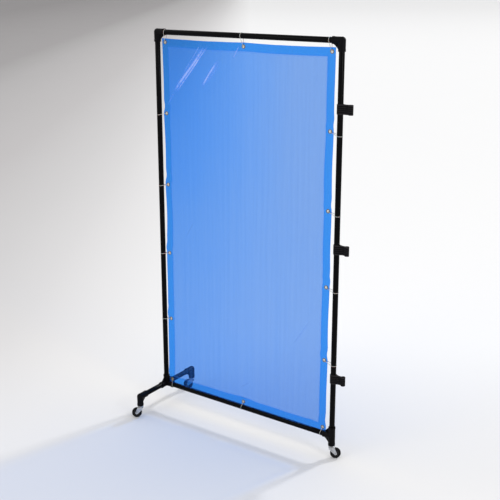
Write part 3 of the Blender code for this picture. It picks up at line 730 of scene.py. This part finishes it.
def hexagon(angle, outline):
    """Radius of a six-sided head as a share of its corner radius: the flats' distance over the cosine from
    the nearest flat, no more than the chamfer's circle, and a plain circle where the outline is narrow."""
    from_flat = (angle + math.pi / 6) % (math.pi / 3) - math.pi / 6
    flats = 0.866 / np.cos(from_flat)
    return np.where(outline[:, :1] > 0.0036, np.minimum(flats, 0.97), 1.0)


def axle():
    """A bolt through the fork: a chamfered six-sided head, the shank, and a nut past which it stands out."""
    shank, head, inner = 0.0030, 0.0052, 0.0128
    end = inner + 0.0030
    outline = [(0, -end), (0.0024, -end), (head * 0.86, -end + 0.0003), (head, -end + 0.0009),
               (head, -inner), (shank, -inner), (shank, inner), (head, inner), (head, end - 0.0012),
               (head * 0.88, end - 0.0006), (shank, end - 0.0006), (0.0027, end), (0, end)]
    return turned(eased(outline, 0.0002, 3), 72, False, hexagon)


def washer(flip):
    """A plain washer between a head of the bolt and the fork."""
    near, far = 0.0126, 0.0132
    outline = eased([(0.0033, near), (0.0062, near), (0.0062, far), (0.0033, far)], 0.0002, 3, True)
    return turned(outline * (1, flip), 40, True)


def tyre():
    """The tyre: a crowned tread with two fine grooves, rounded shoulders and a step down each side."""
    half, inner = 0.0090, 0.0170
    side = [(inner, -half + 0.0006), (0.0185, -half + 0.0006), (0.0192, -half), (0.0223, -half),
            (0.0243, -half + 0.0022), (0.02478, -0.0042), (0.02478, -0.0030), (0.02440, -0.0027),
            (0.02485, -0.0024)]
    outline = side + [(0.02498, 0.0)] + [(radius, -across) for radius, across in side[::-1]]
    return turned(eased(outline, 0.0005, 4, True), 96, True)


def hub():
    """The wheel's centre: a rim, a dished web stiffened by six ribs, and a boss on the axle. Each face is
    a height over radius and angle, and the ribs raise the web by cos(3 angle) to the twelfth power."""
    sides = 72
    web_radii = np.linspace(0.0064, 0.0142, 12)
    radii = np.concatenate([[0.0033, 0.0036, 0.0058, 0.0061], web_radii, [0.0146, 0.0164, 0.0167]])
    angle = np.arange(sides) * 2 * math.pi / sides
    web = 0.0052 + 0.0006 * smoothstep(0.008, 0.014, radii)
    height = np.select([radii < 0.0034, radii < 0.0059, radii > 0.0165, radii > 0.0143],
                       [0.0098, 0.0102, 0.0074, 0.0078], web)
    rib = np.cos(angle * 3) ** 12
    lift = ((radii > 0.0060) & (radii < 0.0144))[:, None] * rib[None] * 0.0016
    radii, height = radii[:, None], height[:, None]
    top = np.stack([radii * np.cos(angle), radii * np.sin(angle), height + lift], -1)
    ring = np.concatenate([top, (top * (1, 1, -1))[::-1]])
    return ring.reshape(-1, 3), lattice(len(ring), sides, True, True)


def insert():
    """The plug between a socket and its castor: a flange with eased edges, a plain shank with a tapered end,
    and a bore from below.
    """
    low, high = 0.0627, 0.0662
    flange, bore = SOCKET + 0.0004, 0.0053
    outline = [(bore, low), (SOCKET - 0.0012, low), (flange, low + 0.0009), (flange, high), (TUBE, high),
               (TUBE, high + 0.020), (TUBE - 0.0015, high + 0.026), (0, high + 0.026), (0, high + 0.022),
               (bore, high + 0.022)]
    return turned(eased(outline, 0.0005, 4, True), 48, True)


def on_axle(*shapes):
    """Shapes turned about Z, laid along the axle."""
    return [moved(shape, axes((0, 1, 0)), (TRAIL, 0, WHEEL)) for shape in shapes]


CASTORS = {"front": ((LEFT, -LEG, 0), math.radians(213)), "rear": ((LEFT, LEG, 0), math.radians(213)),
           "right": ((RIGHT, 0, 0), math.radians(33))}
for side, (at, turn) in CASTORS.items():
    name = f"{side}_castor"
    add(f"{name}_insert", [moved(insert(), None, at)], PLUG, "frame", [f"{name}_insert"])
    for part, shapes, finish, body in (
            ("fork", fork(), ZINC, "swivel"),
            ("axle", on_axle(axle(), washer(-1), washer(1)), ZINC, "swivel"),
            ("tyre", on_axle(tyre()), RUBBER, "wheel"),
            ("hub", on_axle(hub()), CENTRE, "wheel")):
        shapes = [moved(shape, about_z(turn), at) for shape in shapes]
        add(f"{name}_{part}", shapes, finish, f"{name}_{body}", [f"{name}_{part}"])


# ================ curtain

def knots(edges, spacing):
    """Grid lines through every given value, with others no further apart than the spacing between them."""
    edges = np.unique(np.round(edges, 7))
    counts = np.maximum(1, np.ceil(np.diff(edges) / spacing)).astype(int)
    pieces = [np.linspace(a, b, count + 1)[:-1] for a, b, count in zip(edges, edges[1:], counts)]
    return np.concatenate(pieces + [edges[-1:]])


def interpolating(coarse, fine):
    """The matrix that takes values at evenly spread coarse places to fine ones by Catmull and Rom's cubic."""
    step = coarse[1] - coarse[0]
    place = np.clip((fine - coarse[0]) / step, 0, len(coarse) - 1.000001)
    base = place.astype(int)
    t = place - base
    weights = np.stack([-t + 2 * t ** 2 - t ** 3, 2 - 5 * t ** 2 + 3 * t ** 3,
                        t + 4 * t ** 2 - 3 * t ** 3, -t ** 2 + t ** 3], 1) / 2
    matrix = np.zeros((len(fine), len(coarse)))
    rows = np.arange(len(fine))
    for k in range(4):
        np.add.at(matrix, (rows, np.clip(base + k - 1, 0, len(coarse) - 1)), weights[:, k])
    return matrix


def hung(across, up, steps):
    """Lets the film hang on its grommets. Points on an even grid keep their distance to their neighbours
    along, across, diagonally and two apart, which resists bending, while they fall a little each step and
    the grommets stay put. The film is cut slightly larger than the space that the grommets span, so it
    settles into shallow ripples. Returns how far each point moves."""
    x, z = np.meshgrid(across, up)
    flat = np.stack([x, np.zeros_like(x), z], -1)
    grip, fall, lively, stiff = 0.013, 0.0000002, 0.96, 0.30
    ease_x, ease_z = 1.0016, 1.0004
    held = np.zeros(x.shape)
    for name in GROMMETS:
        centre = middle(f"grommet_{name}")
        held = np.maximum(held, np.hypot(x - centre[0], z - centre[2]) < grip)
    free = (1 - held)[..., None]
    start = flat.copy()
    phase = 2.1 * np.sin(z * 3.1 + 0.4) + 0.6 * np.sin(z * 7.3 + x * 5.0)
    ripple = 0.0024 * np.sin(x * 33.0 + phase) + 0.0012 * np.sin(x * 71.0 - phase * 1.7)
    start[..., 1] = free[..., 0] * (ripple + 0.0020 * np.sin(x * 9.0 + z * 4.0 + 1.1))
    now, before = start.copy(), start.copy()
    links = [((0, 1), 1.0), ((1, 0), 1.0), ((1, 1), 0.45), ((1, -1), 0.45), ((0, 2), 0.30), ((2, 0), 0.30)]
    rest = []
    for (rows, columns), share in links:
        one = (slice(0, len(up) - rows), slice(max(0, -columns), len(across) - max(0, columns)))
        other = (slice(rows, len(up)), slice(max(0, columns), len(across) + min(0, columns)))
        gap = (flat[other] - flat[one]) * (ease_x, 1, ease_z)
        rest.append((one, other, np.linalg.norm(gap, axis=-1, keepdims=True), share * stiff))
    for _ in range(steps):
        drift = (now - before) * lively
        before = now.copy()
        now = now + drift * free
        now[..., 2] -= fall * free[..., 0]
        for one, other, length, share in rest:
            gap = now[other] - now[one]
            far = np.linalg.norm(gap, axis=-1, keepdims=True)
            pull = gap * ((far - length) / far * 0.5 * share)
            now[one] += pull * free[one]
            now[other] -= pull * free[other]
    return now - flat


def scalloped(x, z):
    """How far the film's edges draw in between grommets: a squared sine that is 0 at each grommet and
    largest halfway, fading towards the middle of the film."""
    row = np.clip(np.searchsorted(ROWS, z) - 1, 0, len(ROWS) - 2)
    share = np.clip((z - ROWS[row]) / (ROWS[row + 1] - ROWS[row]), 0, 1)
    deep = np.array([0.0014, 0.0022, 0.0030, 0.0026, 0.0014])[row]
    inward = -np.sign(x) * deep * np.sin(math.pi * share) ** 2 * smoothstep(0.18, 0.46, np.abs(x))
    inward = inward * np.where(x < 0, 0.8, 1.0)
    column = np.clip((x - COLUMNS[0]) / (COLUMNS[2] - COLUMNS[0]) * 2, 0, 2) % 1.0
    sag = -0.0012 * np.sin(math.pi * column) ** 2 * smoothstep(1.62, 1.87, z)
    rise = 0.0006 * np.sin(math.pi * column) ** 2 * smoothstep(0.40, 0.14, z)
    return inward, sag + rise


def hem_lines(low, high):
    """Grid lines at the film's two edges, on each side of its hems' ends and where their welds start."""
    inward = HEM + np.array([0, 0.0005, -0.0030])
    return np.concatenate([[low], low + inward, high - inward, [high]])


def curtain():
    """The film: a plate of two grids of points. Each point starts flat, moves as the hung film does, and
    is drawn in at the edges; near a grommet it keeps its place, and squares round each grommet's centre
    are turned into circles so that the hole is round. The hems are twice as thick as the middle."""
    hole = 0.0060
    steps = np.array([-2.0, -1.4, -1.0, -0.5, 0.0, 0.5, 1.0, 1.4, 2.0]) * hole
    across = knots([*hem_lines(SHEET_LOW[0], SHEET_HIGH[0]), *(COLUMNS[:, None] + steps).ravel()], 0.0085)
    up = knots([*hem_lines(SHEET_LOW[2], SHEET_HIGH[2]), *(ROWS[:, None] + steps).ravel()], 0.0095)
    x, z = np.meshgrid(across, up)
    flat_x, flat_z = x.copy(), z.copy()
    near_x = x - COLUMNS[np.abs(x[..., None] - COLUMNS).argmin(-1)]
    near_z = z - ROWS[np.abs(z[..., None] - ROWS).argmin(-1)]
    middle_row = np.isin(np.round(z - near_z, 6), np.round(ROWS[[0, -1]], 6))
    has_grommet = middle_row | (np.abs(x - near_x) > 0.1)
    square = np.maximum(np.abs(near_x), np.abs(near_z))
    circle = np.maximum(np.hypot(near_x, near_z), 1e-9)
    rounded = (1 - smoothstep(1.15 * hole, 2.0 * hole, square)) * has_grommet
    grow = rounded * (square / circle) + (1 - rounded)
    x, z = x - near_x + near_x * grow, z - near_z + near_z * grow
    cell_x, cell_z = (flat_x[1:, 1:] + flat_x[:-1, :-1]) / 2, (flat_z[1:, 1:] + flat_z[:-1, :-1]) / 2
    from_column = np.abs(cell_x[..., None] - COLUMNS).min(-1)
    from_row = np.abs(cell_z[..., None] - ROWS).min(-1)
    in_end_row = np.abs(cell_z[..., None] - ROWS[[0, -1]]).min(-1) < hole
    kept = (np.maximum(from_column, from_row) > hole) | ~(in_end_row | (np.abs(cell_x) > 0.1))
    coarse_x = np.linspace(SHEET_LOW[0], SHEET_HIGH[0], 94)
    coarse_z = np.linspace(SHEET_LOW[2], SHEET_HIGH[2], 176)
    move = hung(coarse_x, coarse_z, 900)
    down, along = interpolating(coarse_z, flat_z[:, 0]), interpolating(coarse_x, flat_x[0])
    move = np.einsum("ij,jkc,lk->ilc", down, move, along)
    inward, drop = scalloped(flat_x, flat_z)
    near = np.where(has_grommet, np.hypot(near_x, near_z), 1.0)
    loose = smoothstep(0.0105, 0.024, near)[..., None]
    points = np.stack([x, np.zeros_like(x), z], -1)
    points += loose * (move + np.stack([inward, np.zeros_like(x), drop], -1))
    points[..., 1] += LEAN * (SHEET_HIGH[2] - flat_z)
    slope_x, slope_z = np.gradient(points, axis=1), np.gradient(points, axis=0)
    normal = np.cross(slope_x, slope_z)
    normal /= np.maximum(np.linalg.norm(normal, axis=-1, keepdims=True), 1e-12)
    edge = np.minimum(np.minimum(flat_x - SHEET_LOW[0], SHEET_HIGH[0] - flat_x),
                      np.minimum(flat_z - SHEET_LOW[2], SHEET_HIGH[2] - flat_z))
    in_hem = (edge < HEM + 0.0001).astype(float)
    half = (0.00030 + 0.00030 * in_hem)[..., None]
    outer_edge = 1 - smoothstep(0.0, 0.006, edge)
    weld = ((edge > HEM - 0.0032) & (edge < HEM + 0.0006)).astype(float)
    shape = slab(points + normal * half, points - normal * half, kept)
    marks = {"hem": np.tile(in_hem.ravel(), 2), "edge": np.tile(outer_edge.ravel(), 2),
             "weld": np.tile(weld.ravel(), 2)}
    used = np.unique(np.concatenate([group.ravel() for group in shape[1]]))
    place = np.full(len(shape[0]), -1)
    place[used] = np.arange(len(used))
    shape = shape[0][used], [place[group] for group in shape[1]]
    marks = {mark: values[used] for mark, values in marks.items()}
    piece = add("curtain", [shape], VINYL, "frame", ["curtain"], marks)


def grommet(name):
    """A two-part eyelet: a domed front flange that rolls into the bore, a barrel, and a domed washer
    behind, all one closed outline turned about the eyelet's axis."""
    tilt = math.atan(LEAN)
    angle = np.linspace(math.pi, 0, 15)
    radius, rise = 0.00725 + 0.00225 * np.cos(angle), np.sin(angle)
    front = np.stack([radius, 0.00065 + 0.00120 * rise], 1)
    behind = np.stack([radius, -0.00065 - 0.00085 * rise], 1)[::-1]
    wall = np.array([(0.0095, 0.00062), (0.0059, 0.00062), (0.0059, -0.00062), (0.0095, -0.00062)])
    shape = turned(np.concatenate([front, wall, behind]), 48, True)
    return [moved(shape, axes((0, -math.cos(tilt), -math.sin(tilt))), middle(f"grommet_{name}"))]


def belt(near, far, distance, near_steps, far_steps):
    """The closed line round a circle at the origin and a smaller one at a distance along X: two arcs, and
    the straight lines that touch both."""
    lean = math.asin((near - far) / distance)
    far_angle = np.linspace(lean - math.pi / 2, math.pi / 2 - lean, far_steps)
    near_angle = np.linspace(math.pi / 2 - lean, math.pi * 1.5 + lean, near_steps)
    return np.concatenate([arc(far_angle, far, (distance, 0)), arc(near_angle, near)])


def tie(name):
    """A cable tie: a band with a ridged inner face carried along a belt line round the tube and through
    the grommet, a square-shouldered head with its slot and pawl behind the tube, and a trimmed tail."""
    ring, turn_radius, wide, thick, head_half = TUBE + 0.00085, 0.0022, 0.00105, 0.00045, 0.0023
    eye = middle(f"grommet_{name}")
    if name in ("bottom", "top") or name[-1] in "16":
        along = np.array([1.0, 0, 0])
        tube_point = np.array([eye[0], 0, RAIL if eye[2] < 1 else TOP])
        shift = max(-0.011, LEFT + ARM + 0.0005 + head_half - eye[0])
    else:
        along = np.array([0, 0, 1.0])
        tube_point = np.array([LEFT if eye[0] < 0 else RIGHT, 0, eye[2]])
        shift = -0.010 if eye[0] < 0 else -0.016
    x_axis = eye - tube_point
    distance = np.linalg.norm(x_axis)
    x_axis /= distance
    y_axis = np.cross(along, x_axis)
    back = 1.0 if y_axis[1] > 0 else -1.0
    line = resampled(belt(ring, turn_radius, distance, 40, 16), 150)
    sine = (ring - turn_radius) / distance
    share = np.clip((line[:, 0] - ring * sine) / (distance + turn_radius * sine - ring * sine), 0, 1)
    lift = shift * (1 - share)
    path = tube_point + line[:, :1] * x_axis + line[:, 1:] * y_axis + lift[:, None] * along
    section = bar(thick, wide, 0.0003)
    band_points, band_faces = carried(path, section, along, True)
    grid = band_points.reshape(len(path), len(section), 3)
    ridge = np.where(np.arange(len(path)) % 2, 0.00011, -0.00003)
    ridged = (section[:, 0] < 0)[None, :, None] * ridge[:, None, None]
    inward = path[:, None] - grid
    inward /= np.maximum(np.linalg.norm(inward, axis=-1, keepdims=True), 1e-9)
    band = ((grid + inward * ridged).reshape(-1, 3), band_faces)
    turn = np.stack([x_axis, y_axis * back, along * back], 1)
    seat = tube_point + along * shift + y_axis * back * (ring + 0.0004)
    head = stepped(bar(0.0025, head_half, 0.0006, 4),
                   [(0, 0.90), (0.0006, 1.0), (0.0026, 1.0), (0.0032, 0.92), (0.0032, 0.62), (0.0026, 0.55),
                    (0.0026, 0.0)])
    pawl = [(-0.0011, -0.0010), (0.0012, -0.0010), (0.0012, 0.0010), (-0.0011, 0.0010)]
    pawl = stepped(eased(pawl, 0.0002, 3, True), [(0.0020, 1.0), (0.0030, 1.0), (0.0034, 0.8), (0.0034, 0.0)])
    t = np.linspace(0, 1, 9)[:, None]
    stub = np.concatenate([0.0002 + 0.0010 * t, 0.0030 + 0.0026 * t, 0 * t], 1)
    tail = carried(stub, bar(thick, 0.0011, 0.0002), (0, 0, 1))
    return [band] + [moved(shape, turn, seat) for shape in (head, pawl, tail)]


curtain()
for grommet_name in GROMMETS:
    add(f"grommet_{grommet_name}", grommet(grommet_name), BRASS, "frame", [f"grommet_{grommet_name}"])
    add(f"tie_{grommet_name}", tie(grommet_name), NYLON, "frame", [f"tie_{grommet_name}"])


# ================ joining loops

def loop_line(count):
    """The webbing's centre line seen from above, with the post's axis as its origin: an arc round the
    post, smooth curves in to the sewn neck, and an arc round the eye. Each curve is a cubic between two
    points with a given direction at each end."""
    hug, eye, eye_at, neck, gap = 0.01430, 0.00925, 0.0505, 0.0340, 0.00150
    post_end, eye_end = math.radians(50), math.radians(128)
    post = np.linspace(post_end, 2 * math.pi - post_end, 60)
    post = arc(post, hug)
    ring = np.linspace(-eye_end, eye_end, 44)
    ring = arc(ring, eye, (eye_at, 0))
    t = np.linspace(0, 1, 18)[1:, None]

    def cubic(start, start_way, end, end_way):
        return ((1 - t) ** 3 * start + 3 * t * (1 - t) ** 2 * (start + start_way)
                + 3 * t * t * (1 - t) * (end - end_way) + t ** 3 * end)

    low_neck = [np.array([neck - 0.003, -gap]), np.array([neck + 0.003, -gap])]
    down = np.array([math.sin(post_end), math.cos(post_end)]) * 0.0075
    into = cubic(post[-1], down, low_neck[0], np.array([0.0085, 0]))
    straight = low_neck[0] + (low_neck[1] - low_neck[0]) * t
    ring_way = np.array([math.sin(eye_end), math.cos(-eye_end)]) * 0.0050
    out = cubic(low_neck[1], np.array([0.0050, 0]), ring[0], ring_way)
    lower = np.concatenate([into, straight, out])
    upper = lower[::-1] * (1, -1)
    return resampled(np.concatenate([post, lower, ring[1:], upper[:-1]]), count)


def stitch(at, up_way, out_way):
    """One stitch: a short thread that rises from the webbing and dips back into it."""
    t = np.linspace(0, 1, 6)[:, None]
    rise = np.sin(t * math.pi) * 0.00045 - 0.0001
    path = np.asarray(at) + (t - 0.5) * 0.0027 * np.asarray(up_way) + rise * np.asarray(out_way)
    section = arc(np.arange(6) * math.pi / 3, 0.00030)
    return carried(path, section, np.cross(up_way, out_way))


def strap(name):
    """A webbing loop: a flat section with rounded selvedges carried along the loop's centre line, which
    wanders a little so that it isn't a perfect curve, and rows of stitches through its neck."""
    height = middle(name)[2]
    line = loop_line(260)
    run = np.linspace(0, 2 * math.pi, len(line), endpoint=False)
    low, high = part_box(name)
    tall, thick = (high[2] - low[2]) / 2, 0.00118
    steps = np.linspace(-tall + 0.001, tall - 0.001, 24)[1:-1]
    face = np.stack([np.full(len(steps), thick), steps], 1)
    section = np.concatenate([bar(thick, tall, 0.0009, 4), face, face * (-1, 1)])
    section = section[np.argsort(np.arctan2(section[:, 1] / tall, section[:, 0] / thick))]
    path = np.stack([RIGHT + line[:, 0], line[:, 1], np.full(len(line), height)], 1)
    phase = {"strap_lower": 0.4, "strap_middle": 2.0, "strap_upper": 3.9}[name]
    path[:, 2] += 0.00035 * np.sin(2 * run + phase) * smoothstep(0.016, 0.030, line[:, 0])
    lengths = np.concatenate([[0], np.cumsum(np.linalg.norm(np.diff(line, axis=0), axis=1))])
    marks = {"along": np.repeat(lengths, len(section)), "across": np.tile(section[:, 1], len(line))}
    add(name, [carried(path, section, (0, 0, 1), True)], WEBBING, name, [name], marks)
    stitches = [stitch((RIGHT + x, out * 0.00270, height + z), (0, 0, 1), (0, out, 0))
                for x in (0.0325, 0.0355) for z in np.linspace(-0.0185, 0.0185, 11) for out in (-1, 1)]
    add(f"{name}_thread", stitches, THREAD, name, [])


for strap_name in ("strap_lower", "strap_middle", "strap_upper"):
    strap(strap_name)


# ================ floor and light

def floor():
    """A plain pale floor with painted shade: it turns slowly to a warm grey towards its far left, and is
    painted a little darker, faintly blue, near the camera and darker far away.
    """
    f = Finish("pale_floor_painted_shade", "", Specular_IOR_Level=0.12, Roughness=0.75)
    across, back = f.part(0), f.part(1)
    # painted shade: the floor darkens towards its far left
    painted_shade_leftward = (across * -0.816 - back * 0.578 + 0.03) / 14.0
    shade = f.node("ShaderNodeValToRGB", {"stops": [
        (0.0, (0.877, 0.877, 0.877)), (0.043, (0.800, 0.795, 0.795)), (0.079, (0.722, 0.714, 0.714)),
        (0.107, (0.650, 0.640, 0.640)), (0.143, (0.585, 0.575, 0.575)), (0.214, (0.495, 0.480, 0.480)),
        (0.357, (0.410, 0.398, 0.398)), (0.443, (0.325, 0.312, 0.312)), (1.0, (0.250, 0.238, 0.238))]},
        {0: painted_shade_leftward})
    # painted shade: a little darker and faintly blue near the camera, and darker far away
    away = back * 0.816 - across * 0.578
    near = away.fitted(1.3, -0.6)
    far = away.fitted(18, 66)
    shade = f.mix(shade, (0.10, 0.10, 0.10), far * 0.17)
    f.feed(Base_Color=f.mix(shade, (0.722, 0.721, 0.730), near * 0.9 + f.noise(0.8, 2) * 0.04))
    mesh = bpy.data.meshes.new("floor")
    sides, radii = 96, (0.02, 2.0, 6.0, 20.0, 80.0, 240.0)
    points, faces = turned([(radius, 0) for radius in radii], sides)
    mesh.from_pydata(points.tolist(), [], faces[:, ::-1].tolist() + [list(range(sides))])
    mesh.materials.append(f.material)
    put("floor", mesh)


def light(name, kind, place, aim, power, **fixed):
    """A light that faces a point: its energy, and whatever else its kind takes."""
    lamp = bpy.data.lights.new(name, kind)
    lamp.energy = power
    for setting, value in fixed.items():
        setattr(lamp, setting, value)
    made = put(name, lamp)
    made.location = place
    way = np.asarray(place, float) - np.asarray(aim, float)
    made.rotation_mode = "QUATERNION"
    made.rotation_quaternion = Matrix(axes(way, (0, 0, 1)).tolist()).to_quaternion()


def surroundings():
    """An even pale studio."""
    world = bpy.data.worlds.new("studio")
    world.use_nodes = True
    shade = world.node_tree.nodes["Background"]
    shade.inputs["Color"].default_value = (0.965, 0.965, 0.970, 1)
    shade.inputs["Strength"].default_value = 0.89
    bpy.context.scene.world = world
    bpy.context.scene.view_settings.view_transform = "Standard"


floor()
surroundings()
light("key", "SUN", (0.75, 2.91, 2.29), (0, 0, 0), 1.25, angle=math.radians(6))
light("fill", "AREA", (-1.4, -3.6, 3.0), (0, 0, 1.0), 20, shape="SQUARE", size=1.4)
light("edge", "AREA", (3.4, -1.0, 2.4), (0.3, 0, 1.0), 16, shape="SQUARE", size=0.5)
